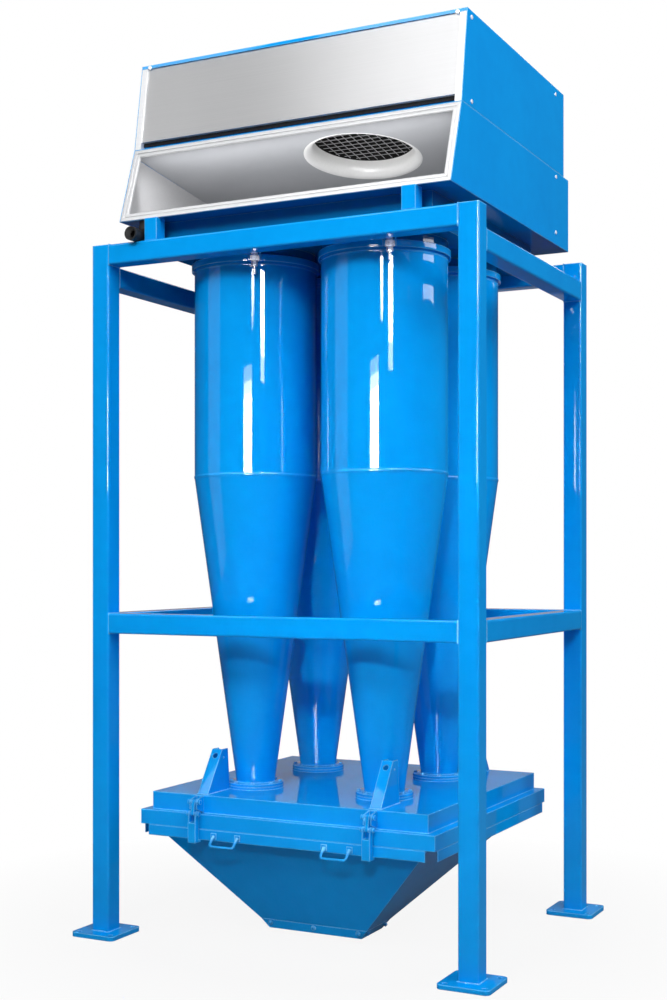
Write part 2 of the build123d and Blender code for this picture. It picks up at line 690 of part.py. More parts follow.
def bow_handle(x):
    """Bent rod with two pads on the front lip of the hopper."""
    top = COVER_BOTTOM - HANDLE_BELOW_BAND - HANDLE_PAD / 2
    face = LIP_FRONT - HANDLE_PAD_THICKNESS
    half = HANDLE_WIDTH / 2
    low = top - HANDLE_DROP
    path = FilletPolyline(
        (x - half, face, top),
        (x - half, face - HANDLE_REACH, low),
        (x + half, face - HANDLE_REACH, low),
        (x + half, face, top),
        radius=HANDLE_BEND,
    )
    drop = Vector(0, -HANDLE_REACH, -HANDLE_DROP)
    start = Plane(origin=(x - half, face, top), z_dir=drop)
    rod = sweep(start * Circle(HANDLE_ROD / 2), path)
    pad = Box(HANDLE_PAD, HANDLE_PAD_THICKNESS, HANDLE_PAD)
    for side in (-1, 1):
        rod += Pos(x + side * half, LIP_FRONT - HANDLE_PAD_THICKNESS / 2, top) * pad
    return rod - block(
        x - HANDLE_WIDTH, x + HANDLE_WIDTH, LIP_FRONT, LIP_FRONT + OVERRUN,
        top - HANDLE_PAD, top + HANDLE_PAD,
    )


# Toggle latches, drawn at the front and mirrored to the rear

TOP_PIN = (BAND_FRONT - LATCH_PIN_REACH, COVER_TOP - LATCH_PIN_DROP)
MID_PIN = (TOP_PIN[0] - LATCH_LINK_OUT, TOP_PIN[1] - LATCH_LINK_DROP)
EAR_INNER = LATCH_EAR_OUTER / 2 - LATCH_EAR_THICKNESS
HEAD_INNER = LATCH_EAR_OUTER / 2 + LATCH_HEAD_GAP


def across(point, half, radius):
    """Cylinder along X through a point given in Y and Z."""
    y, z = point
    return Pos(0, y, z) * Rot(0, 90, 0) * Cylinder(radius, 2 * half)


def pin(point, radius):
    """Headed pin along X."""
    shank = across(point, HEAD_INNER + LATCH_HEAD_THICKNESS, radius)
    y, z = point
    for side in (-1, 1):
        middle = side * (HEAD_INNER + LATCH_HEAD_THICKNESS / 2)
        head = Rot(0, 90, 0) * Cylinder(LATCH_HEAD_RADIUS, LATCH_HEAD_THICKNESS)
        shank += Pos(middle, y, z) * head
    return shank


def both_sides(outline_maker, inner, outer):
    """Two like plates, one on each side of the latch's middle."""
    return outline_maker(-outer, -inner) + outline_maker(inner, outer)


def latch_bracket():
    """Base on the cover's front with two ears and the top pin."""
    y, z = TOP_PIN
    top = COVER_TOP - LATCH_EAR_TOP_DROP
    bottom = COVER_LEDGE + LATCH_EAR_LEDGE_GAP
    base_face = COVER_FRONT - LATCH_BASE_THICKNESS

    def ear(x0, x1):
        nose = y - LATCH_EAR_RADIUS
        outline = [(COVER_FRONT, bottom), (base_face, bottom), (nose, z - LATCH_EAR_DROP)]
        outline += [(nose, z), (y, z + LATCH_EAR_RADIUS), (base_face, top), (COVER_FRONT, top)]
        plate = side_profile(outline, x0, x1)
        end = Pos((x0 + x1) / 2, y, z) * Rot(0, 90, 0) * Cylinder(LATCH_EAR_RADIUS, x1 - x0)
        return plate + end

    half = LATCH_EAR_OUTER / 2
    bracket = block(-half, half, base_face, COVER_FRONT, bottom, top)
    bracket += both_sides(ear, EAR_INNER, half)
    return bracket + pin(TOP_PIN, LATCH_PIN_RADIUS)


def latch_link():
    """Link bar that hangs from the top pin and carries the middle pin."""
    (y0, z0), (y1, z1) = TOP_PIN, MID_PIN
    length = hypot(y1 - y0, z1 - z0)
    slope = degrees(atan2(z1 - z0, y1 - y0))
    shape = SlotCenterToCenter(length, 2 * LATCH_BAR_RADIUS)
    left = -LATCH_BAR_WIDTH / 2
    place = Plane(origin=(left, (y0 + y1) / 2, (z0 + z1) / 2), x_dir=(0, 1, 0), z_dir=(1, 0, 0))
    bar = extrude(place * (Rot(0, 0, slope) * shape), LATCH_BAR_WIDTH)
    bar -= across(TOP_PIN, LATCH_BAR_WIDTH, LATCH_PIN_RADIUS + LATCH_PIN_CLEARANCE)
    return bar + pin(MID_PIN, LATCH_PIN_RADIUS)


def latch_lever():
    """Closing lever: a channel hung from the middle pin, with a toe under the hopper's lip."""
    y, z = MID_PIN
    half = LATCH_EAR_OUTER / 2
    t = LATCH_SHEET
    channel_top = z - LATCH_CHEEK_DROP
    back = BAND_FRONT - LATCH_CHANNEL_INNER
    face = back - LATCH_CHANNEL_DEPTH
    toe_top = LIP_BOTTOM - LATCH_SEAT_GAP
    toe_bottom = toe_top - LATCH_TOE_HEIGHT
    toe_back = LIP_FRONT + LATCH_TOE_REACH

    def cheek(x0, x1):
        outline = [
            (y - LATCH_CHEEK_RADIUS, z),
            (face, channel_top),
            (face, toe_bottom),
            (back, toe_bottom),
            (back, channel_top),
            (y + LATCH_CHEEK_RADIUS, z),
        ]
        plate = side_profile(outline, x0, x1)
        return plate + Pos((x0 + x1) / 2, y, z) * Rot(0, 90, 0) * Cylinder(LATCH_CHEEK_RADIUS, x1 - x0)

    lever = both_sides(cheek, EAR_INNER, half)
    lever += block(-half, half, face, face + t, toe_bottom, channel_top)
    lever += block(-half, half, face, back, channel_top - t, channel_top)
    lever += block(-half, half, face, toe_back, toe_bottom, toe_top)
    return lever - across(MID_PIN, LATCH_EAR_OUTER, LATCH_PIN_RADIUS + LATCH_PIN_CLEARANCE)


def at_latch(piece, side, row):
    """Latch piece moved to its place, and mirrored for the rear."""
    placed = Pos(side * LATCH_X, 0, 0) * piece
    if row < 0:
        return placed
    shift = COVER_REAR + COVER_FRONT
    return Pos(0, shift, 0) * mirror(placed, Plane.XZ)


def write(name, *solids):
    """Write one node's solids to its own file."""
    shape = solids[0] if len(solids) == 1 else Compound(children=list(solids))
    export_step(shape, f"parts/{name}.step")


os.makedirs("parts", exist_ok=True)

for name, (side, row) in CORNERS.items():
    write(f"post_{name}", post(side, row))
    write(f"foot_plate_{name}", foot_plate(side, row))

ROWS = {"front": -1, "rear": 1}
SIDES = {"left": -1, "right": 1}
for name, row in ROWS.items():
    write(f"top_rail_{name}", rail_across(row, POST_TOP))
    write(f"mid_rail_{name}", rail_across(row, MID_RAIL_TOP))
for name, side in SIDES.items():
    write(f"top_rail_{name}", rail_along(side, POST_TOP - SIDE_RAIL_DROP))
    write(f"mid_rail_{name}", rail_along(side, MID_RAIL_TOP))
    write(f"lower_casing_{name}", lower_side_wall(side))

write("upper_casing", upper_housing())
write("front_panel", front_panel())
write("panel_side_strips", *[panel_side_strip(side) for side in SIDES.values()])
write("lower_casing_deck", lower_deck())
write("head_floor", lower_floor())
write("inlet_liner", inlet_liner())
write("inlet_bell", inlet_bell())
write("inlet_trim", inlet_trim())
write("head_supports", *[head_support(side, row) for side, row in CORNERS.values()])
write("drain_elbow", drain_elbow())
write("distribution_chamber", chamber())

for name, (x, y, turn) in CYCLONES.items():
    write(f"cyclone_{name}", cyclone(x, y))
    write(f"clamp_ring_{name}", clamp_ring(x, y, turn))

write("hopper_cover", hopper_cover())
write("dust_hopper", hopper())
write("outlet_cap", outlet_cap())
write("lifting_lugs", *[lifting_lug(side, row) for side, row in CORNERS.values()])
write("hopper_handles", *[bow_handle(side * HANDLE_X) for side in SIDES.values()])
write("latch_brackets", *[at_latch(latch_bracket(), side, row) for side, row in CORNERS.values()])
for name, (side, row) in CORNERS.items():
    write(f"latch_link_{name}", at_latch(latch_link(), side, row))
    write(f"latch_lever_{name}", at_latch(latch_lever(), side, row))
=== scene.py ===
import json
from math import cos, pi, radians, sin

import bmesh
import bpy
from mathutils import Matrix, Vector


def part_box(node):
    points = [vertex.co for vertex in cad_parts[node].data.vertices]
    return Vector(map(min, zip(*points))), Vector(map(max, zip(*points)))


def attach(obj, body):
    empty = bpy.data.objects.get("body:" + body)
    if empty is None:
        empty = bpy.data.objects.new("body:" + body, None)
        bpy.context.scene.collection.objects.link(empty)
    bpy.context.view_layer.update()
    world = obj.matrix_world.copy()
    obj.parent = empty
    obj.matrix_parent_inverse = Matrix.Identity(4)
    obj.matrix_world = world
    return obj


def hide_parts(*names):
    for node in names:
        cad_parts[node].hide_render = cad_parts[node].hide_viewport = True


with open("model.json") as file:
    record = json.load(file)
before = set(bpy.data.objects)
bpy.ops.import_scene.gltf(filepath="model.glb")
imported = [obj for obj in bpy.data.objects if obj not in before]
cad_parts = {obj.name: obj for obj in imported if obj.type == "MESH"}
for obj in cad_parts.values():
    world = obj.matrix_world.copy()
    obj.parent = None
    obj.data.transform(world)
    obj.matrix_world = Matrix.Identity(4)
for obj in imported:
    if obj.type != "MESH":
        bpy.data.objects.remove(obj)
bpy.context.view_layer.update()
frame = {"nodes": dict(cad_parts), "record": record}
nodes = frame["nodes"]
CORNERS = {"front_left": (-1, -1), "front_right": (1, -1), "rear_left": (-1, 1), "rear_right": (1, 1)}
TURN = radians(26.882)
LOOK = Vector((-sin(TURN), cos(TURN), 0))
ACROSS = Vector((cos(TURN), sin(TURN), 0))


# Camera

def set_camera():
    """Level camera fitted to the straight edges in the photo."""
    lens = bpy.data.cameras.new("camera")
    lens.lens = 52.17
    lens.shift_x = -0.0011
    lens.shift_y = 0.0593
    lens.clip_end = 60
    camera = bpy.data.objects.new("camera", lens)
    camera.location = (2.65815, -5.36156, 1.499)
    camera.rotation_euler = (radians(90), 0, TURN)
    bpy.context.scene.collection.objects.link(camera)
    bpy.context.scene.camera = camera


# Node trees

class Wire:
    """A socket that takes part in sums; every operator adds its Math node."""

    def __init__(self, bench, socket):
        self.bench = bench
        self.socket = socket

    def maths(self, operation, *terms):
        return self.bench.node("ShaderNodeMath", {"operation": operation}, *terms)

    def __add__(self, other):
        return self.maths("ADD", self, other)

    def __sub__(self, other):
        return self.maths("SUBTRACT", self, other)

    def __rsub__(self, other):
        return self.maths("SUBTRACT", other, self)

    def __mul__(self, other):
        return self.maths("MULTIPLY", self, other)

    def __pow__(self, other):
        return self.maths("POWER", self, other)

    __radd__ = __add__
    __rmul__ = __mul__


class Bench:
    """A node tree that nodes are laid out on."""

    def __init__(self, tree):
        self.tree = tree

    def node(self, kind, settings, *values, output=0, **named):
        """Adds a node, fills its inputs in order, by name or by _number, and gives one output."""
        made = self.tree.nodes.new(kind)
        for name, value in settings.items():
            setattr(made, name, value)
        sockets = list(zip(made.inputs, values))
        for name, value in named.items():
            key = int(name[1:]) if name[1:].isdigit() else name.replace("_", " ")
            sockets.append((made.inputs[key], value))
        for socket, value in sockets:
            for one in value if isinstance(value, list) else [value]:
                if isinstance(one, Wire):
                    self.tree.links.new(one.socket, socket)
                elif one is not None:
                    socket.default_value = one
        return Wire(self, made.outputs[output])

    def step(self, value, low, high, first=0.0, last=1.0):
        """Maps a range of values on another."""
        return self.node("ShaderNodeMapRange", {}, value, low, high, first, last)

    def other(self, wire, output):
        """Another output of the node that a wire comes from."""
        return Wire(self, wire.socket.node.outputs[output])


class Finish(Bench):
    """A material being mixed for one finish of the separator."""

    def __init__(self, name, **constants):
        self.material = bpy.data.materials.new(name)
        self.material.use_nodes = True
        super().__init__(self.material.node_tree)
        self.shader = self.tree.nodes["Principled BSDF"]
        for socket, value in constants.items():
            self.shader.inputs[socket.replace("_", " ")].default_value = value

    def place(self):
        return self.node("ShaderNodeTexCoord", {}, output="Object")

    def noise(self, scale, detail, stretch=(1, 1, 1), roughness=0.5):
        """Noise of a fineness and detail, stretched along the axes."""
        place = self.node("ShaderNodeMapping", {}, self.place(), Scale=stretch)
        sizes = {"Scale": scale, "Detail": detail, "Roughness": roughness}
        return self.node("ShaderNodeTexNoise", {}, Vector=place, **sizes)

    def blend(self, share, first, second):
        return self.node("ShaderNodeMix", {"data_type": "RGBA"}, output=2, _0=share, _6=first, _7=second)

    def feed(self, **wires):
        for name, wire in wires.items():
            self.tree.links.new(wire.socket, self.shader.inputs[name.replace("_", " ")])

    def soft_edges(self, radius):
        return self.node("ShaderNodeBevel", {"samples": 6}, radius)

    def edge_share(self, soft):
        """How far a softened edge turns away from its face."""
        face = self.node("ShaderNodeNewGeometry", {}, output="True Normal")
        alike = self.node("ShaderNodeVectorMath", {"operation": "DOT_PRODUCT"}, soft, face, output="Value")
        turned_from, turned_to = 0.995, 0.86
        return self.step(alike, turned_from, turned_to)

    def vary_roughness(self, pattern, low, high):
        self.feed(Roughness=self.step(pattern, 0.3, 0.7, low, high))

    def bump(self, height, depth, strength, soft=None):
        self.feed(Normal=self.node(
            "ShaderNodeBump", {}, Strength=strength, Distance=depth, Height=height, Normal=soft,
        ))


def powder_blue(name, level):
    """Glossy blue powder coat: faint orange peel, uneven tone, and paler blue along the edges as a painted
    highlight.
    """
    coat = Finish(
        name, Roughness=0.5, Coat_Weight=1.0, Coat_Roughness=0.025, Coat_IOR=1.5, Specular_IOR_Level=0.0,
    )
    # Low and high blues of the uneven tone, and a pale blue that is a painted highlight on the edges
    colours = ((0.0005, 0.305, 0.81), (0.001, 0.355, 0.89), (0.22, 0.66, 1.0))
    edge_radius, painted_highlight_strength = 0.006, 0.9
    cloud = coat.noise(1.3, 3.0)
    grain = coat.noise(14.0, 5.0)
    tone = coat.step(cloud * 0.7 + grain * 0.3, 0.35, 0.65)
    soft = coat.soft_edges(edge_radius)
    low, high, edge = (tuple(level * channel for channel in colour) + (1,) for colour in colours)
    # Where an eased edge turns away from its face, the pale blue is laid on as a painted highlight
    coat.feed(Base_Color=coat.blend(coat.edge_share(soft) * painted_highlight_strength, coat.blend(tone, low, high), edge))
    coat.vary_roughness(grain, 0.45, 0.6)
    peel = coat.noise(240.0, 2.0)
    coat.bump(peel, depth=0.0001, strength=0.04, soft=soft)
    return coat.material


def brushed_steel():
    """Stainless sheet brushed along its width, which draws its highlights out upward."""
    sheet = Finish("brushed_steel", Metallic=1.0, Roughness=0.42, Anisotropic=0.8)
    lines = sheet.noise(90.0, 5.0, (0.02, 9, 9), 0.6)
    cloud = sheet.noise(1.6, 3.0, (0.8, 1, 1))
    tone = sheet.step(lines * 0.5 + cloud * 0.5, 0.38, 0.62)
    sheet.feed(Base_Color=sheet.blend(tone, (0.70, 0.70, 0.705, 1), (0.77, 0.77, 0.775, 1)))
    sheet.vary_roughness(lines, 0.39, 0.47)
    sheet.feed(Tangent=sheet.node("ShaderNodeCombineXYZ", {}, 0.0, 0.0, 1.0))
    sheet.bump(lines, depth=0.00005, strength=0.3, soft=sheet.soft_edges(0.003))
    return sheet.material


def satin_aluminium():
    """Anodised bar for the trim and the panel's side strips."""
    bar = Finish("satin_aluminium", Metallic=0.35, Roughness=0.38)
    lines = bar.noise(30.0, 3.0, (0.1, 3, 3))
    tone = bar.step(lines, 0.35, 0.65)
    bar.feed(Base_Color=bar.blend(tone, (0.76, 0.765, 0.775, 1), (0.80, 0.805, 0.815, 1)))
    bar.vary_roughness(lines, 0.38, 0.42)
    bar.bump(lines, depth=0.00003, strength=0.1, soft=bar.soft_edges(0.001))
    return bar.material


def painted_sheet(name, low, high, roughness):
    """Light sheet of the inlet, with faint rolling marks."""
    sheet = Finish(name, Roughness=roughness, Coat_Weight=0.15, Coat_Roughness=0.2)
    cloud = sheet.noise(3.0, 4.0)
    grain = sheet.noise(120.0, 3.0)
    tone = sheet.step(cloud * 0.6 + grain * 0.4, 0.35, 0.65)
    sheet.feed(Base_Color=sheet.blend(tone, low, high))
    sheet.vary_roughness(grain, roughness - 0.06, roughness + 0.06)
    sheet.bump(grain, depth=0.00008, strength=0.4, soft=sheet.soft_edges(0.002))
    return sheet.material


def zinc():
    """Bright zinc plate on the bolts and nuts."""
    plate = Finish("zinc", Metallic=0.3, Roughness=0.3)
    spangle = plate.noise(240.0, 3.0)
    plate.feed(Base_Color=plate.blend(spangle, (0.86, 0.87, 0.89, 1), (0.94, 0.94, 0.96, 1)))
    plate.vary_roughness(spangle, 0.2, 0.38)
    plate.bump(spangle, depth=0.00005, strength=0.4)
    return plate.material


def moulded_black(name, tone):
    """Matt black plastic with a fine moulded grain."""
    plastic = Finish(name, Roughness=0.5, Specular_IOR_Level=0.25)
    grain = plastic.noise(900.0, 2.0)
    plastic.feed(Base_Color=plastic.blend(grain, (tone, tone, tone, 1), (2 * tone, 2 * tone, 2.1 * tone, 1)))
    plastic.vary_roughness(grain, 0.42, 0.6)
    plastic.bump(grain, depth=0.0001, strength=0.5, soft=plastic.soft_edges(0.001))
    return plastic.material


FINISHES = {
    "blue_paint": powder_blue("powder_blue", 1.0),
    "stainless": brushed_steel(),
    "aluminium": satin_aluminium(),
    "grey_sheet": painted_sheet("grey_sheet", (0.37, 0.38, 0.40, 1), (0.42, 0.43, 0.45, 1), 0.4),
    "white_paint": painted_sheet("white_paint", (0.86, 0.86, 0.85, 1), (0.92, 0.92, 0.91, 1), 0.35),
    "black_plastic": moulded_black("moulded_black", 0.012),
}
# A darker copy of the blue paint: painted shade for the parts that lie in shadow under the head
PAINTED_SHADE_BLUE = powder_blue("shaded_blue", 0.45)
LINING_GREY = painted_sheet("lining_grey", (0.50, 0.50, 0.51, 1), (0.55, 0.55, 0.56, 1), 0.4)
ZINC = zinc()
# Near-black that is painted shade, for the cup over the bell and the strip in the panel slot
PAINTED_SHADE_BLACK = moulded_black("duct_black", 0.003)
GUARD_WIRE = moulded_black("guard_wire", 0.28)
SLOTS = {part["node"]: part["material_slot"] for part in frame["record"]["subparts"]}
BODIES = {node: body for body, members in frame["record"]["behaviour"]["bodies"].items() for node in members}


def finish_cad():
    """Gives every carried-over CAD piece its finish; the chamber and the head's floor get a darker copy of
    the blue, painted shade for the shadow under the head.
    """
    for name, piece in nodes.items():
        material = PAINTED_SHADE_BLUE if name in ("distribution_chamber", "head_floor") else FINISHES[SLOTS[name]]
        if not piece.material_slots:
            piece.data.materials.append(material)
        for slot in piece.material_slots:
            slot.link = "OBJECT"
            slot.material = material


# Pieces

def lead_normals(piece):
    """Bakes normals that the large faces lead, so that sheets look flat up to their eased edges."""
    lead = piece.modifiers.new("lead", "WEIGHTED_NORMAL")
    lead.keep_sharp = True
    mesh = bpy.data.meshes.new_from_object(piece.evaluated_get(bpy.context.evaluated_depsgraph_get()))
    piece.modifiers.remove(lead)
    piece.data = mesh


def add_piece(name, mesh, slot, material=None, body="separator", stands_for=(), smooth=30, led=False):
    """Links a finished mesh as a piece that rides on its body and may stand for CAD nodes."""
    piece = bpy.data.objects.new(name, mesh)
    bpy.context.scene.collection.objects.link(piece)
    mesh.materials.clear()
    mesh.materials.append(material or FINISHES[slot])
    mesh.shade_smooth()
    mesh.set_sharp_from_angle(angle=radians(smooth))
    if led:
        lead_normals(piece)
    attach(piece, body)
    if stands_for:
        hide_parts(*stands_for)


def as_mesh(shape, name, place=None):
    if place:
        bmesh.ops.transform(shape, matrix=place, verts=shape.verts)
    mesh = bpy.data.meshes.new(name)
    shape.to_mesh(mesh)
    shape.free()
    return mesh


def ease(shape, edges, width):
    """Rounds edges of a shape by a small radius."""
    bmesh.ops.bevel(
        shape, geom=edges, offset=width, offset_type="OFFSET", segments=2, profile=0.5,
        affect="EDGES", clamp_overlap=True,
    )


def dress(node, width=None):
    """The CAD node's own shape with joined faces, smooth rounds and eased edges."""
    joined_within, flat_within, sharp_from = 0.00001, radians(0.5), radians(28)
    shape = bmesh.new()
    shape.from_mesh(nodes[node].data)
    bmesh.ops.remove_doubles(shape, verts=shape.verts, dist=joined_within)
    bmesh.ops.dissolve_limit(shape, angle_limit=flat_within, verts=shape.verts, edges=shape.edges)
    if width:
        ease(shape, [
            edge for edge in shape.edges
            if len(edge.link_faces) == 2 and edge.calc_face_angle(0) > sharp_from
        ], width)
    add_piece(
        f"{node}_dressed", as_mesh(shape, node), SLOTS[node], body=BODIES[node], stands_for=[node],
        smooth=50, led=True,
    )


def span(shape, first, last):
    """Closes the sides between two loops that have as many points."""
    for i in range(len(first)):
        j = (i + 1) % len(first)
        shape.faces.new((first[i], first[j], last[j], last[i]))


def lathe(profile, steps):
    """Turned shape from (radius, height) pairs that go round the section, closed on itself."""
    shape = bmesh.new()
    rings = []
    for radius, height in profile:
        rings.append([
            shape.verts.new((radius * cos(2 * pi * i / steps), radius * sin(2 * pi * i / steps), height))
            for i in range(steps)
        ])
    for lower, upper in zip(rings, rings[1:] + rings[:1]):
        span(shape, lower, upper)
    bmesh.ops.recalc_face_normals(shape, faces=shape.faces)
    return shape


def rounded(corners, radius, steps):
    """Section with every corner drawn as a small arc."""
    points = []
    count = len(corners)
    for i, corner in enumerate(corners):
        here = Vector(corner)
        before = Vector(corners[i - 1]) - here
        after = Vector(corners[(i + 1) % count]) - here
        reach = min(radius, before.length / 2.2, after.length / 2.2)
        start = here + before.normalized() * reach
        end = here + after.normalized() * reach
        for k in range(steps + 1):
            share = k / steps
            points.append(tuple((1 - share) ** 2 * start + 2 * share * (1 - share) * here + share ** 2 * end))
    return points


def centre_of(node):
    low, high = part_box(node)
    return (Vector(low) + Vector(high)) / 2


BARREL, SHEET = 0.247, 0.003
RING_Z, RING_OUTER = 2.672, 0.2583


def turn_cyclones():
    """Smooth barrels and cones with a welded seam above the cone and one below the clamp ring."""
    outlet, flange, flange_up, lip, lip_up = 0.076, 0.112, 0.012, 0.008, 0.006
    fillet_out, fillet_in, fillet_up = 0.004, 0.0025, 0.006
    cone_top, cone_rise, barrel_seam, barrel_rise, seam_half = 1.830, 0.0019, 2.650, 0.002, 0.003
    # Rings this close to the seams keep the shading of the long faces straight
    guide = 0.012
    for corner in CORNERS:
        node = f"cyclone_{corner}"
        low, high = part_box(node)
        middle = centre_of(node)
        top, bottom = high[2], low[2]
        foot = Vector((outlet + fillet_in, bottom + flange_up + fillet_up))
        shoulder = Vector((BARREL, cone_top - 2 * seam_half))
        along = (shoulder - foot).normalized() * guide
        section = [
            (outlet - SHEET, bottom), (flange, bottom), (flange, bottom + flange_up),
            (outlet + fillet_out, bottom + flange_up), foot, foot + along, shoulder - along, shoulder,
            (BARREL + cone_rise, cone_top - seam_half), (BARREL + cone_rise, cone_top + seam_half),
            (BARREL, cone_top + 2 * seam_half), (BARREL, cone_top + guide), (BARREL, barrel_seam - guide),
            (BARREL, barrel_seam - seam_half), (BARREL + barrel_rise, barrel_seam),
            (BARREL, barrel_seam + seam_half), (BARREL, top - lip_up), (BARREL + lip, top - lip_up),
            (BARREL + lip, top), (BARREL - SHEET, top), (BARREL - SHEET, cone_top),
        ]
        shape = lathe(rounded(section, 0.0015, 2), 144)
        mesh = as_mesh(shape, node, Matrix.Translation((middle.x, middle.y, 0)))
        add_piece(f"{node}_shell", mesh, "blue_paint", stands_for=[node], smooth=35)


def box_shape(shape, size, place):
    """Adds a box of a size at a place."""
    made = bmesh.ops.create_cube(shape, size=1.0)
    bmesh.ops.scale(shape, vec=size, verts=made["verts"])
    bmesh.ops.transform(shape, matrix=place, verts=made["verts"])


RING_TURNS = {"front_left": radians(29), "front_right": radians(29), "rear_left": 0.0, "rear_right": 0.0}


def ring_place(corner):
    """Middle of a clamp ring, turned to where its ears stand."""
    middle = centre_of(f"cyclone_{corner}")
    return Matrix.Translation((middle.x, middle.y, RING_Z)) @ Matrix.Rotation(RING_TURNS[corner], 4, "Z")


def turn_clamp_rings():
    """Smooth clamp rings with their eased ears."""
    inner, outer, half = 0.2553, RING_OUTER, 0.014
    barrel, gap, sheet = BARREL + 0.0003, 0.0063, 0.003
    ear_half, ear_gap, ear_reach, ear_up, eased = 0.003, 0.021, 0.024, 0.017, 0.0012
    # Only the ears have such square edges this long
    shortest, squarest = 0.005, radians(80)
    for corner in CORNERS:
        section = [
            (inner, -gap), (inner, gap), (barrel, gap), (barrel, gap + sheet),
            (outer, half), (outer, -half), (barrel, -gap - sheet), (barrel, -gap),
        ]
        shape = lathe(rounded(section, 0.002, 3), 160)
        for side in (-1, 1):
            place = Matrix.Translation((side * ear_gap, -outer - ear_reach / 2 + sheet / 2, 0))
            box_shape(shape, (2 * ear_half, ear_reach + sheet, 2 * ear_up), place)
        ease(shape, [
            edge for edge in shape.edges
            if edge.calc_face_angle(0) > squarest and edge.calc_length() > shortest
        ], eased)
        node = f"clamp_ring_{corner}"
        mesh = as_mesh(shape, node, ring_place(corner))
        add_piece(f"{node}_band", mesh, "blue_paint", stands_for=[node], smooth=35)


# Air inlet

CEILING_FALL = radians(7)
BELL = Matrix.Translation((0.175, -0.215, 3.08484)) @ Matrix.Rotation(-CEILING_FALL, 4, "X")


def turn_bell():
    """Flared inlet bell, and a near-black cup on its throat, painted shade that stands for the dark inside of
    the head.
    """
    throat, mouth, wall, flare, neck, lip, steps = 0.200, 0.235, 0.003, 0.045, 0.065, 0.002, 12
    outside, inside = [], []
    for k in range(steps + 1):
        swing = pi / 2 * k / steps
        inside.append((mouth - wall - (mouth - wall - throat) * sin(swing), flare * (1 - cos(swing))))
        outside.append((mouth - (mouth - wall - throat) * sin(swing), max(lip, flare * (1 - cos(swing)))))
    section = inside + [(throat, neck), (throat + wall, neck)] + outside[:0:-1] + [(mouth, lip), (mouth, 0)]
    flared = as_mesh(lathe(section, 128), "bell", BELL)
    add_piece("inlet_bell_flare", flared, "white_paint", stands_for=["inlet_bell"], smooth=40)
    height, skin, seat, middle = 0.100, 0.002, 0.0005, 0.0001
    cup = [
        (throat, neck + seat), (throat + wall, neck + seat), (throat + wall, neck + height),
        (middle, neck + height), (middle, neck + height - skin), (throat, neck + height - skin),
    ]
    # The closed near-black cup is painted shade where the inside of the head lies in shadow
    add_piece("throat_shade_cup", as_mesh(lathe(cup, 96), "duct", BELL), "black_plastic", PAINTED_SHADE_BLACK)


HEAD_LOW, HEAD_SEAM = 2.838, 3.150
INLET_HALF = 0.7068
# Y at the foot of the leaning front, its height and how far it leans back, below and above the seam
LOWER_FRONT, LOWER_HEIGHT, LOWER_LEAN = -0.610, 0.312, 0.104
UPPER_FRONT, UPPER_HEIGHT, UPPER_LEAN = -0.506, 0.355, 0.056


def front_at(height):
    """Y of the head's leaning front at a height."""
    if height <= HEAD_SEAM:
        return LOWER_FRONT + (height - HEAD_LOW) / LOWER_HEIGHT * LOWER_LEAN
    return UPPER_FRONT + (height - HEAD_SEAM) / UPPER_HEIGHT * UPPER_LEAN


def line_inlet():
    """Pale sheets on the inlet's side walls and floor, with the floor cut back round the drain hole."""
    half, sheet, rear, floor = INLET_HALF, 0.0012, 0.228, HEAD_LOW + 0.0045
    front, notch_x, notch_y = -0.594, -0.585, -0.545
    lift, set_back, front_top, rear_top, steps = 0.0031, 0.015, 3.118, 3.0302, 8
    shape = bmesh.new()
    corners = [
        (-half, notch_y), (notch_x, notch_y), (notch_x, front), (half, front), (half, rear), (-half, rear),
    ]
    under = [shape.verts.new((x, y, HEAD_LOW + lift)) for x, y in corners]
    over = [shape.verts.new((x, y, HEAD_LOW + lift + sheet)) for x, y in corners]
    shape.faces.new(under[::-1])
    shape.faces.new(over)
    span(shape, under, over)
    for side in (-1, 1):
        outline = []
        for k in range(steps + 1):
            z = floor + (front_top - floor) * k / steps
            outline.append((front_at(z) + set_back, z))
        outline += [(rear, rear_top), (rear, floor)]
        outer = [shape.verts.new((side * half, y, z)) for y, z in outline]
        inner = [shape.verts.new((side * (half - sheet), y, z)) for y, z in outline]
        shape.faces.new(outer)
        shape.faces.new(inner[::-1])
        span(shape, outer, inner)
    bmesh.ops.recalc_face_normals(shape, faces=shape.faces)
    add_piece("inlet_lining", as_mesh(shape, "lining"), "grey_sheet", LINING_GREY)


def mitre_trim():
    """Stepped inlet frame of four bars that meet in mitred corners."""
    half, low, high, gap = 0.707, HEAD_LOW + 0.003, HEAD_SEAM - 0.003, 0.0005
    # How far each corner of the bar's section lies inward and deep
    section = rounded([
        (0, 0), (0.013, 0), (0.013, 0.006), (0.017, 0.006), (0.017, 0.002), (0.026, 0.002), (0.030, 0.005),
        (0.030, 0.014), (0, 0.014),
    ], 0.0008, 2)
    shape = bmesh.new()
    for bar in range(4):
        ends = []
        for end in (bar, (bar + 1) % 4):
            ring = []
            for inward, deep in section:
                x = (half - inward) * (1 if end in (1, 2) else -1)
                z = low + inward if end in (0, 1) else high - inward
                slide = gap if end == bar else -gap
                if bar in (0, 2):
                    x += slide if bar == 0 else -slide
                else:
                    z += slide if bar == 1 else -slide
                ring.append(shape.verts.new((x, front_at(z) + deep, z)))
            ends.append(ring)
        first, last = ends
        span(shape, first, last)
        shape.faces.new(first)
        shape.faces.new(last[::-1])
    bmesh.ops.recalc_face_normals(shape, faces=shape.faces)
    add_piece("inlet_trim_bars", as_mesh(shape, "trim"), "aluminium", stands_for=["inlet_trim"])


# Pieces that repeat

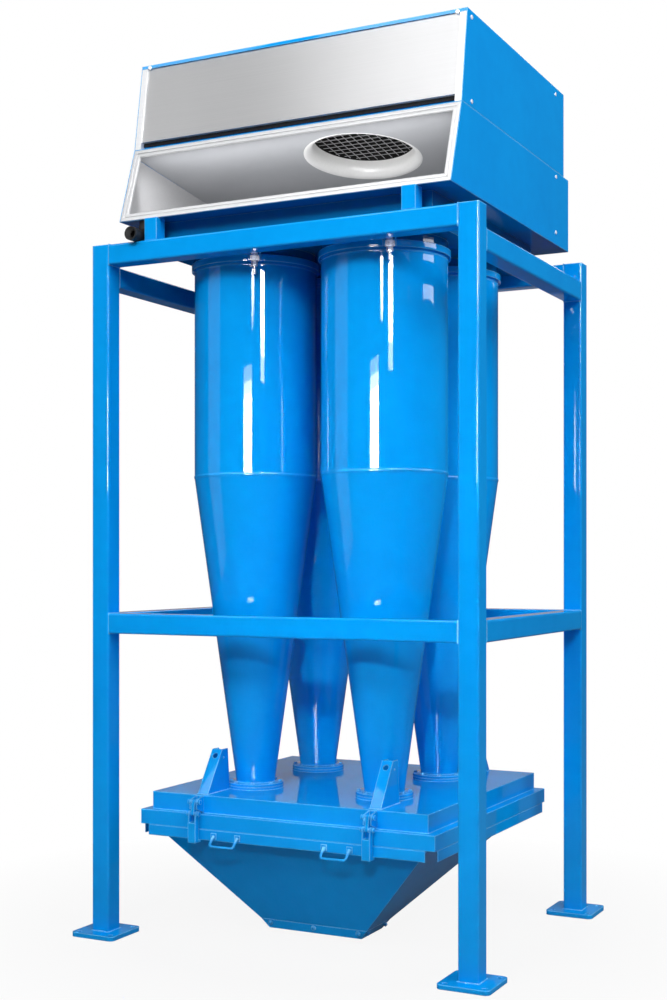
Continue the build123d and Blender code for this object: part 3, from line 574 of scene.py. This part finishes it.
class Recipe(Bench):
    """A Geometry Nodes tree for pieces that repeat, with named sizes."""

    def __init__(self, name, **sizes):
        super().__init__(bpy.data.node_groups.new(name, "GeometryNodeTree"))
        self.sizes = {}
        self.add_socket("Geometry", "NodeSocketGeometry")
        self.tree.interface.new_socket("Geometry", in_out="OUTPUT", socket_type="NodeSocketGeometry")
        self.add_socket("finish", "NodeSocketMaterial")
        for size, value in sizes.items():
            kind = "NodeSocketInt" if isinstance(value, int) else "NodeSocketFloat"
            self.add_socket(size, kind).default_value = value
        self.given = self.tree.nodes.new("NodeGroupInput")

    def add_socket(self, name, kind):
        """Adds an input and notes under its name how a modifier calls it."""
        made = self.tree.interface.new_socket(name, in_out="INPUT", socket_type=kind)
        self.sizes[name] = made.identifier
        return made

    def size(self, name):
        return Wire(self, self.given.outputs[name])

    def along(self, height):
        """Vector straight up by a height."""
        return self.node("ShaderNodeCombineXYZ", {}, 0.0, 0.0, height)

    def moved(self, geometry, height):
        return self.node("GeometryNodeTransform", {}, Geometry=geometry, Translation=self.along(height))

    def raised(self, mesh, faces, height):
        return self.node("GeometryNodeExtrudeMesh", {}, Mesh=mesh, Selection=faces, Offset_Scale=height)

    def scaled(self, mesh, faces, share):
        return self.node("GeometryNodeScaleElements", {}, Geometry=mesh, Selection=faces, Scale=share)

    def disc(self, sides, radius, height, bottom):
        """Closed drum on a height."""
        drum = self.node("GeometryNodeMeshCylinder", {}, Vertices=sides, Radius=radius, Depth=height)
        return self.moved(drum, bottom + height * 0.5)

    def hexagon(self, radius, height, bottom):
        """Hexagon head or nut, with a chamfer on the top quarter of its height."""
        below, above, crown_share = 0.75, 0.25, 0.86
        drum = self.node("GeometryNodeMeshCylinder", {}, Vertices=6, Radius=radius, Depth=height * below)
        raised = self.raised(drum, self.other(drum, "Top"), height * above)
        head = self.scaled(raised, self.other(raised, "Top"), crown_share)
        return self.moved(head, bottom + height * (below / 2))

    def join(self, *parts):
        return self.node("GeometryNodeJoinGeometry", {}, Geometry=list(reversed(parts)))

    def chance(self, low, high, seed):
        settings = {"data_type": "FLOAT"}
        return self.node("FunctionNodeRandomValue", settings, output=1, _2=low, _3=high, Seed=seed)

    def facing(self, axis, spin=None):
        """Turns an instance so that an axis looks the way its point says."""
        way = self.node("GeometryNodeInputNamedAttribute", {"data_type": "FLOAT_VECTOR"}, "facing")
        turn = self.node("FunctionNodeAlignRotationToVector", {"axis": axis}, Vector=way)
        if spin is None:
            return turn
        angle = self.chance(0.0, spin, 7)
        own = self.node("FunctionNodeAxisAngleToRotation", {}, Axis=(0, 0, 1), Angle=angle)
        return self.node("FunctionNodeRotateRotation", {"rotation_space": "LOCAL"}, turn, own)

    def put(self, points, part, rotation=None, scale=None):
        return self.node(
            "GeometryNodeInstanceOnPoints", {}, Points=points, Instance=part, Rotation=rotation, Scale=scale,
        )

    def end(self, geometry):
        real = self.node("GeometryNodeRealizeInstances", {}, Geometry=geometry)
        last = self.node("GeometryNodeSetMaterial", {}, Geometry=real, Material=self.size("finish"))
        out = self.tree.nodes.new("NodeGroupOutput")
        self.tree.links.new(last.socket, out.inputs[0])
        return self

    def points(self):
        return self.size("Geometry")


def bolt_recipe():
    """Hexagon bolts on washers, each turned by chance about its own axis."""
    recipe = Recipe(
        "bolts", head_radius=0.0075, head_height=0.0055, washer_radius=0.0095, washer_height=0.0016,
    )
    washer_height = recipe.size("washer_height")
    washer = recipe.disc(20, recipe.size("washer_radius"), washer_height, 0.0)
    head = recipe.hexagon(recipe.size("head_radius"), recipe.size("head_height"), washer_height)
    bolt = recipe.join(washer, head)
    return recipe.end(recipe.put(recipe.points(), bolt, recipe.facing("Z", pi / 3)))


def screw_recipe():
    """Low pan heads with a dimple for the driver."""
    recipe = Recipe("screws", head_radius=0.006, head_height=0.003)
    radius, height = recipe.size("head_radius"), recipe.size("head_height")
    drum = recipe.node("GeometryNodeMeshCylinder", {}, Vertices=20, Radius=radius, Depth=height * 0.5)
    raised = recipe.raised(drum, recipe.other(drum, "Top"), height * 0.5)
    crown = recipe.other(raised, "Top")
    head = recipe.scaled(raised, crown, 0.72)
    inner = recipe.raised(head, crown, 0.0)
    ring = recipe.other(inner, "Top")
    small = recipe.scaled(inner, ring, 0.5)
    sunk = recipe.raised(small, ring, height * -0.5)
    return recipe.end(recipe.put(recipe.points(), recipe.moved(sunk, height * 0.25), recipe.facing("Z")))


def closure_recipe():
    """Upright closing bolts of the clamp rings: a rod, nuts and a bearing plate."""
    recipe = Recipe(
        "closures", rod_radius=0.0055, rod_bottom=-0.068, rod_height=0.104, nut_radius=0.0125,
        nut_height=0.018, block_width=0.0345, block_depth=0.020, block_height=0.019, block_bottom=-0.0165,
    )
    washer_share, washer_up = 1.12, 0.0025
    nut, nut_height = recipe.size("nut_radius"), recipe.size("nut_height")
    width, depth = recipe.size("block_width"), recipe.size("block_depth")
    height, bottom = recipe.size("block_height"), recipe.size("block_bottom")
    rod = recipe.disc(16, recipe.size("rod_radius"), recipe.size("rod_height"), recipe.size("rod_bottom"))
    size = recipe.node("ShaderNodeCombineXYZ", {}, width, depth, height)
    block = recipe.moved(recipe.node("GeometryNodeMeshCube", {}, size), bottom + height * 0.5)
    washer = recipe.disc(20, nut * washer_share, washer_up, bottom + height)
    cap = recipe.hexagon(nut, nut_height, bottom + height + washer_up)
    lower_washer = recipe.disc(20, nut * washer_share, washer_up, bottom - washer_up)
    under = recipe.hexagon(nut, nut_height, bottom - nut_height - washer_up)
    closure = recipe.join(rod, block, washer, cap, lower_washer, under)
    return recipe.end(recipe.put(recipe.points(), closure, recipe.facing("Y")))


def guard_recipe():
    """Square mesh of wires cut to a circle."""
    recipe = Recipe("guard", radius=0.2, wire_radius=0.0013, pitch=0.033, wires=11)
    radius, pitch, wires = recipe.size("radius"), recipe.size("pitch"), recipe.size("wires")
    start = (wires - 1.0) * -0.5 * pitch
    over = 0.0026
    layers = []
    for turned in (0.0, pi / 2):
        line = recipe.node(
            "GeometryNodeMeshLine", {}, Count=wires,
            Start_Location=recipe.node("ShaderNodeCombineXYZ", {}, start, 0.0, 0.0),
            Offset=recipe.node("ShaderNodeCombineXYZ", {}, pitch, 0.0, 0.0),
        )
        spot = recipe.node("GeometryNodeInputPosition", {})
        across = recipe.node("ShaderNodeSeparateXYZ", {}, spot)
        chord = (radius ** 2.0 - across ** 2.0) ** 0.5
        thickness = recipe.size("wire_radius")
        wire = recipe.node("GeometryNodeMeshCylinder", {}, Vertices=8, Radius=thickness, Depth=2.0)
        lying = recipe.node("GeometryNodeTransform", {}, Geometry=wire, Rotation=(pi / 2, 0, 0))
        stretch = recipe.node("ShaderNodeCombineXYZ", {}, 1.0, chord, 1.0)
        row = recipe.put(line, lying, scale=stretch)
        place = {"Rotation": (0, 0, turned), "Translation": (0, 0, over if turned else 0)}
        layers.append(recipe.node("GeometryNodeTransform", {}, Geometry=row, **place))
    grid = recipe.put(recipe.points(), recipe.join(*layers))
    return recipe.end(grid)


def weld_recipe():
    """Weld bead: overlapping ripples along the edges that it is given."""
    recipe = Recipe("weld", width=0.0035, spacing=0.0045)
    path = recipe.node("GeometryNodeMeshToCurve", {}, Mesh=recipe.points())
    spacing = recipe.size("spacing")
    dots = recipe.node("GeometryNodeCurveToPoints", {"mode": "LENGTH"}, Curve=path, Length=spacing)
    turn = recipe.other(dots, "Rotation")
    ripple = recipe.node("GeometryNodeMeshUVSphere", {}, Segments=7, Rings=4, Radius=recipe.size("width"))
    return recipe.end(recipe.put(dots, ripple, turn, recipe.chance(0.82, 1.1, 3)))


RECIPES = {
    "bolts": bolt_recipe(), "screws": screw_recipe(), "closures": closure_recipe(),
    "guard": guard_recipe(), "weld": weld_recipe(),
}


def grow(recipe, name, spots, slot, finish, facings=(), edges=(), place=None, **sizes):
    """Runs a recipe on points or edges and adds the plain mesh as a piece."""
    tree = RECIPES[recipe]
    seeds = bpy.data.meshes.new(name)
    seeds.from_pydata(spots, edges, [])
    if facings:
        way = seeds.attributes.new("facing", "FLOAT_VECTOR", "POINT")
        for one, facing in zip(way.data, facings):
            one.vector = facing
    holder = bpy.data.objects.new(name, seeds)
    bpy.context.scene.collection.objects.link(holder)
    grower = holder.modifiers.new(recipe, "NODES")
    grower.node_group = tree.tree
    for size, value in {"finish": finish, **sizes}.items():
        grower[tree.sizes[size]] = value
    mesh = bpy.data.meshes.new_from_object(holder.evaluated_get(bpy.context.evaluated_depsgraph_get()))
    bpy.data.objects.remove(holder)
    if place:
        mesh.transform(place)
    add_piece(name, mesh, slot, finish)


def rectangle(middle, half_a, half_b, axis):
    """Four corners of a rectangle square to an axis, in order."""
    corners = []
    for a, b in ((-1, -1), (1, -1), (1, 1), (-1, 1)):
        spot = Vector(middle)
        others = [k for k in range(3) if k != axis]
        spot[others[0]] += a * half_a
        spot[others[1]] += b * half_b
        corners.append(spot)
    return corners


LUG_X, LUG_HALF = 0.374, 0.023


def weld_frame():
    """Beads round the feet of the posts and the ends of the rails, and at the feet of the lugs."""
    tube, rail_half, plate = 0.040, 0.037, 0.018
    post_x, post_y = 0.785, 0.595
    front_level, side_level, mid_level = 2.710, 2.630, 1.244
    front_lug, rear_lug, lug_depth, lug_foot = -0.525, 0.597, 0.168, 0.577
    spots, edges = [], []

    def bead(loop, closed=True):
        first, count = len(spots), len(loop)
        spots.extend(loop)
        edges.extend((first + k, first + (k + 1) % count) for k in range(count if closed else count - 1))

    for sx, sy in CORNERS.values():
        bead(rectangle((sx * post_x, sy * post_y, plate), tube, tube, 2))
        for level in (front_level, mid_level):
            bead(rectangle((sx * (post_x - tube), sy * post_y, level), rail_half, tube, 0))
        for level in (side_level, mid_level):
            bead(rectangle((sx * post_x, sy * (post_y - tube), level), rail_half, tube, 1))
        outer = front_lug if sy < 0 else rear_lug
        inner = outer - sy * lug_depth
        corners = ((-1, inner), (-1, outer), (1, outer), (1, inner))
        bead([(sx * LUG_X + side * LUG_HALF, y, lug_foot) for side, y in corners], closed=False)
    grow("weld", "weld_beads", spots, "blue_paint", FINISHES["blue_paint"], edges=edges)


def bolt_flanges():
    """Ring of bolts on each flange of the hopper cover."""
    count, circle, level = 8, 0.100, 0.601
    spots = []
    for corner in CORNERS:
        middle = centre_of(f"cyclone_{corner}")
        for k in range(count):
            swing = pi / count + k * 2 * pi / count
            spots.append((middle.x + circle * cos(swing), middle.y + circle * sin(swing), level))
    facings = [(0, 0, 1)] * len(spots)
    grow("bolts", "flange_bolts", spots, "blue_paint", FINISHES["blue_paint"], facings)


def bolt_cap():
    """Bolts square to the four leaning sides of the outlet cap."""
    level, front, rear, side_x = 0.046, -0.3005, -0.0935, 0.2240
    front_fall, side_fall = -0.39, -0.79
    spots, facings = [], []
    for x in (-0.195, 0.0, 0.195):
        spots += [(x, front, level), (x, rear, level)]
        facings += [(0, -1, front_fall), (0, 1, front_fall)]
    for y in (-0.277, -0.117):
        for side in (-1, 1):
            spots.append((side * side_x, y, level))
            facings.append((side, 0, side_fall))
    sizes = {"head_radius": 0.0085, "head_height": 0.008, "washer_radius": 0.0105}
    grow("bolts", "cap_bolts", spots, "blue_paint", FINISHES["blue_paint"], facings, **sizes)


# Y and Z of the screws on each side of the head
SIDE_SCREWS = ((-0.411, 3.480), (0.556, 3.475), (-0.411, 3.172), (0.564, 3.126), (0.561, 2.889))


def screw_casing():
    """Screws on the sides of the head, at the top of its front strips and along its back."""
    side_x, strip_x, strip_level, strip_lean = 0.710, 0.671, 3.494, 0.158
    back, back_high, back_low = 0.670, 3.470, 3.180
    spots, facings = [], []
    for side in (-1, 1):
        for y, z in SIDE_SCREWS:
            spots.append((side * side_x, y, z))
            facings.append((side, 0, 0))
        spots.append((side * strip_x, front_at(strip_level), strip_level))
        facings.append((0, -1, strip_lean))
    for x in (-0.5, 0.0, 0.5):
        spots += [(x, back, back_high), (x, back, back_low)]
        facings += [(0, 1, 0)] * 2
    sizes = {"head_radius": 0.0085, "head_height": 0.0035}
    grow("screws", "casing_screws", spots, "stainless", ZINC, facings, **sizes)


def screw_lugs():
    """Screws on both sides of each lifting lug."""
    front, rear, level = -0.405, -0.477, 0.709
    spots, facings = [], []
    for sx, sy in CORNERS.values():
        y = (front if sy < 0 else rear) * -sy
        for side in (-1, 1):
            spots.append((sx * LUG_X + side * LUG_HALF, y, level))
            facings.append((side, 0, 0))
    grow("screws", "lug_screws", spots, "blue_paint", FINISHES["blue_paint"], facings, head_radius=0.005)


def close_rings():
    """Closing bolt between the ears of each clamp ring."""
    bolt_reach = 0.013
    spots, facings = [], []
    for corner in CORNERS:
        place = ring_place(corner)
        spots.append(place @ Vector((0, -RING_OUTER - bolt_reach, 0)))
        facings.append(place.to_3x3() @ Vector((0, -1, 0)))
    grow("closures", "clamp_closures", spots, "stainless", ZINC, facings)


def guard_throat():
    """Wire guard across the duct over the bell."""
    place = BELL @ Matrix.Translation((0, 0, 0.070))
    grow("guard", "inlet_guard", [(0, 0, 0)], "black_plastic", GUARD_WIRE, place=place)


def shade_slot():
    """Near-black strip in the slot under the front panel: painted shade for the slot's dark depth."""
    low, high = HEAD_SEAM + 0.014, HEAD_SEAM + 0.0297
    face, back = 0.022, 0.0258
    shape = bmesh.new()
    rings = []
    for x in (-INLET_HALF, INLET_HALF):
        corners = ((face, low), (back, low), (back, high), (face, high))
        rings.append([shape.verts.new((x, front_at(z) + deep, z)) for deep, z in corners])
    first, last = rings
    shape.faces.new(first)
    shape.faces.new(last[::-1])
    span(shape, first, last)
    bmesh.ops.recalc_face_normals(shape, faces=shape.faces)
    add_piece("slot_shade_strip", as_mesh(shape, "slot_shade"), "black_plastic", PAINTED_SHADE_BLACK)


def strap_drain():
    """Strap round the drain pipe under the head's floor."""
    inner, outer, low, high = 0.0221, 0.0245, 2.808, 2.822
    pipe = Matrix.Translation((-0.615, -0.570, 0))
    section = rounded([(inner, low), (outer, low), (outer, high), (inner, high)], 0.0006, 2)
    add_piece("drain_strap", as_mesh(lathe(section, 64), "strap", pipe), "black_plastic")


EASED = {
    "hopper_cover": 0.0014, "dust_hopper": 0.0014, "outlet_cap": 0.0012, "lifting_lugs": 0.0012,
    "latch_brackets": 0.0008, "upper_casing": 0.0008, "lower_casing_left": 0.0008,
    "lower_casing_right": 0.0008, "front_panel": 0.0006, "panel_side_strips": 0.0006, "head_supports": 0.0012,
    **{f"latch_{part}_{corner}": 0.0008 for part in ("link", "lever") for corner in CORNERS},
    **{f"foot_plate_{corner}": 0.002 for corner in CORNERS},
}
SMOOTHED = ["hopper_handles", "drain_elbow"]
SMOOTHED += [f"post_{corner}" for corner in CORNERS]
for level in ("top", "mid"):
    SMOOTHED += [f"{level}_rail_{side}" for side in ("front", "rear", "left", "right")]


def dress_pieces():
    """Gives most CAD nodes eased edges, and tubes and bent rods smooth rounds."""
    for node, width in EASED.items():
        dress(node, width)
    for node in SMOOTHED:
        dress(node)


# Stage

def area_lamp(name, place, target, size, power, spread=180):
    """Rectangular lamp that faces a target and that the camera doesn't see."""
    lamp = bpy.data.lights.new(name, "AREA")
    lamp.shape = "RECTANGLE"
    lamp.size, lamp.size_y = size
    lamp.energy = power
    lamp.spread = radians(spread)
    holder = bpy.data.objects.new(name, lamp)
    holder.visible_camera = False
    back = (Vector(place) - Vector(target)).normalized()
    side = Vector((0, 0, 1)).cross(back).normalized()
    up = back.cross(side)
    holder.matrix_world = Matrix.Translation(place) @ Matrix((side, up, back)).transposed().to_4x4()
    bpy.context.scene.collection.objects.link(holder)
    return holder


def set_world():
    """Dim blue-grey room, white for the camera and partly so for reflections of what lies behind."""
    dim_light, mirrored_white = 0.05, 0.3
    behind_from, behind_to = 0.93, 0.985
    world = bpy.data.worlds.new("studio")
    bpy.context.scene.world = world
    world.use_nodes = True
    room = Bench(world.node_tree)
    room.tree.nodes.clear()
    dim = room.node("ShaderNodeBackground", {}, (0.75, 0.85, 1.0, 1), dim_light)
    white = room.node("ShaderNodeBackground", {}, (1, 1, 1, 1), 1.0)
    camera = room.node("ShaderNodeLightPath", {}, output="Is Camera Ray")
    mirrored = room.other(camera, "Is Glossy Ray") + room.other(camera, "Is Transmission Ray")
    way = room.node("ShaderNodeTexCoord", {}, output="Generated")
    behind = room.node("ShaderNodeVectorMath", {"operation": "DOT_PRODUCT"}, way, tuple(LOOK), output="Value")
    share = camera + mirrored * room.step(behind, behind_from, behind_to, 0.0, mirrored_white)
    mixed = room.node("ShaderNodeMixShader", {}, share, dim, white)
    out = room.tree.nodes.new("ShaderNodeOutputWorld")
    room.tree.links.new(mixed.socket, out.inputs[0])


def lay_floor():
    """White paper floor that keeps a soft shadow and fades into the white background."""
    reach = 14
    tone, mirrored_less, mirrored_glow = 0.3, 0.26, 0.05
    fade_from, fade_to, first_glow = 0.9, 2.1, 0.91
    corners = [(-reach, -reach, 0), (reach, -reach, 0), (reach, reach, 0), (-reach, reach, 0)]
    paper = bpy.data.meshes.new("floor")
    paper.from_pydata(corners, [], [(0, 1, 2, 3)])
    ground = bpy.data.objects.new("floor", paper)
    bpy.context.scene.collection.objects.link(ground)
    white = Finish("floor_paper", Roughness=0.9)
    camera = white.node("ShaderNodeLightPath", {}, output="Is Camera Ray")
    mirrored = white.other(camera, "Is Glossy Ray")
    white.feed(Base_Color=tone - mirrored * mirrored_less)
    seen = camera + mirrored * mirrored_glow + white.other(camera, "Is Transmission Ray")
    far = white.node("ShaderNodeVectorMath", {"operation": "LENGTH"}, white.place(), output="Value")
    glow = white.node("ShaderNodeEmission", {}, (1, 1, 1, 1), 1.0)
    share = seen * white.step(far, fade_from, fade_to, first_glow, 1.0)
    shader = Wire(white, white.shader.outputs[0])
    mixed = white.node("ShaderNodeMixShader", {}, share, shader, glow)
    white.tree.links.new(mixed.socket, white.tree.nodes["Material Output"].inputs[0])
    paper.materials.append(white.material)


# Upright strips that only reflections show, for the barrels' highlights: across, bottom, top, width and level
STRIPS = [
    (0.69, 2.95, 3.75, 0.50, 1.6), (0.69, 2.82, 2.95, 0.50, 0.7), (0.69, 2.65, 2.82, 0.50, 0.25),
    (-1.15, 1.95, 2.56, 1.05, 1.2), (-1.15, 2.56, 2.65, 1.05, 0.4), (-1.15, 2.65, 2.75, 1.05, 0.12),
]
STRIPS_BEFORE, STRIP_POWER = 4.0, 150
FILL_PLACE = -4.5 * LOOK - 1.4 * ACROSS + Vector((0, 0, 4.6))
# Place, target, size and power of each lamp
LAMPS = {
    "front_fill": (FILL_PLACE, (0, 0, 1.8), (1.4, 1.0), 122),
    "left_panel": ((-4.6, -3.3, 2.3), (0, 0, 1.8), (3.0, 4.0), 20),
    "high_side_lamp": ((6.0, 1.8, 5.0), (0, 0, 2.0), (3.0, 3.0), 170),
    "high_lamp": ((-0.7, -5.6, 6.6), (0, 0, 2.4), (4.2, 3.5), 125),
    "panel_glow": ((-2.35, -5.6, 7.1), (0.2, -0.5, 3.3), (0.9, 2.0), 8),
    "high_left_lamp": ((-4.7, -5.4, 6.8), (0, 0, 2.4), (1.6, 3.0), 34),
    "high_right_lamp": ((4.5, -2.5, 6.0), (0, 0, 2.4), (3.0, 3.0), 212),
    "rear_lamp": ((-1.0, 6.0, 5.5), (0, 0, 1.8), (3.0, 3.0), 110),
    "inlet_lamp": ((0, -0.50, 2.985), (0, 0, 3.08), (1.30, 0.16), 2.3),
    "low_beam": ((2.4, -6.0, 3.6), (0, 0, 0.9), (0.5, 0.5), 4.6),
}
SPREADS = {"low_beam": 28}


def set_stage():
    """White room and floor, strips and a glow for reflections alone, a fill and lamps all round."""
    bpy.context.scene.view_settings.view_transform = "Standard"
    set_world()
    lay_floor()
    for k, (across, low, high, width, level) in enumerate(STRIPS):
        place = -STRIPS_BEFORE * LOOK + across * ACROSS + Vector((0, 0, (low + high) / 2))
        power = level * STRIP_POWER * width * (high - low)
        strip = area_lamp(f"strip_{k}", place, place + LOOK, (width, high - low), power)
        strip.visible_diffuse = False
    for name, (place, target, size, power) in LAMPS.items():
        lamp = area_lamp(name, place, target, size, power, SPREADS.get(name, 180))
        lamp.visible_diffuse = name != "panel_glow"
        lamp.visible_glossy = name != "front_fill"


set_camera()
finish_cad()
turn_cyclones()
turn_clamp_rings()
turn_bell()
line_inlet()
mitre_trim()
dress_pieces()
shade_slot()
strap_drain()
weld_frame()
bolt_flanges()
bolt_cap()
screw_casing()
screw_lugs()
close_rings()
guard_throat()
set_stage()
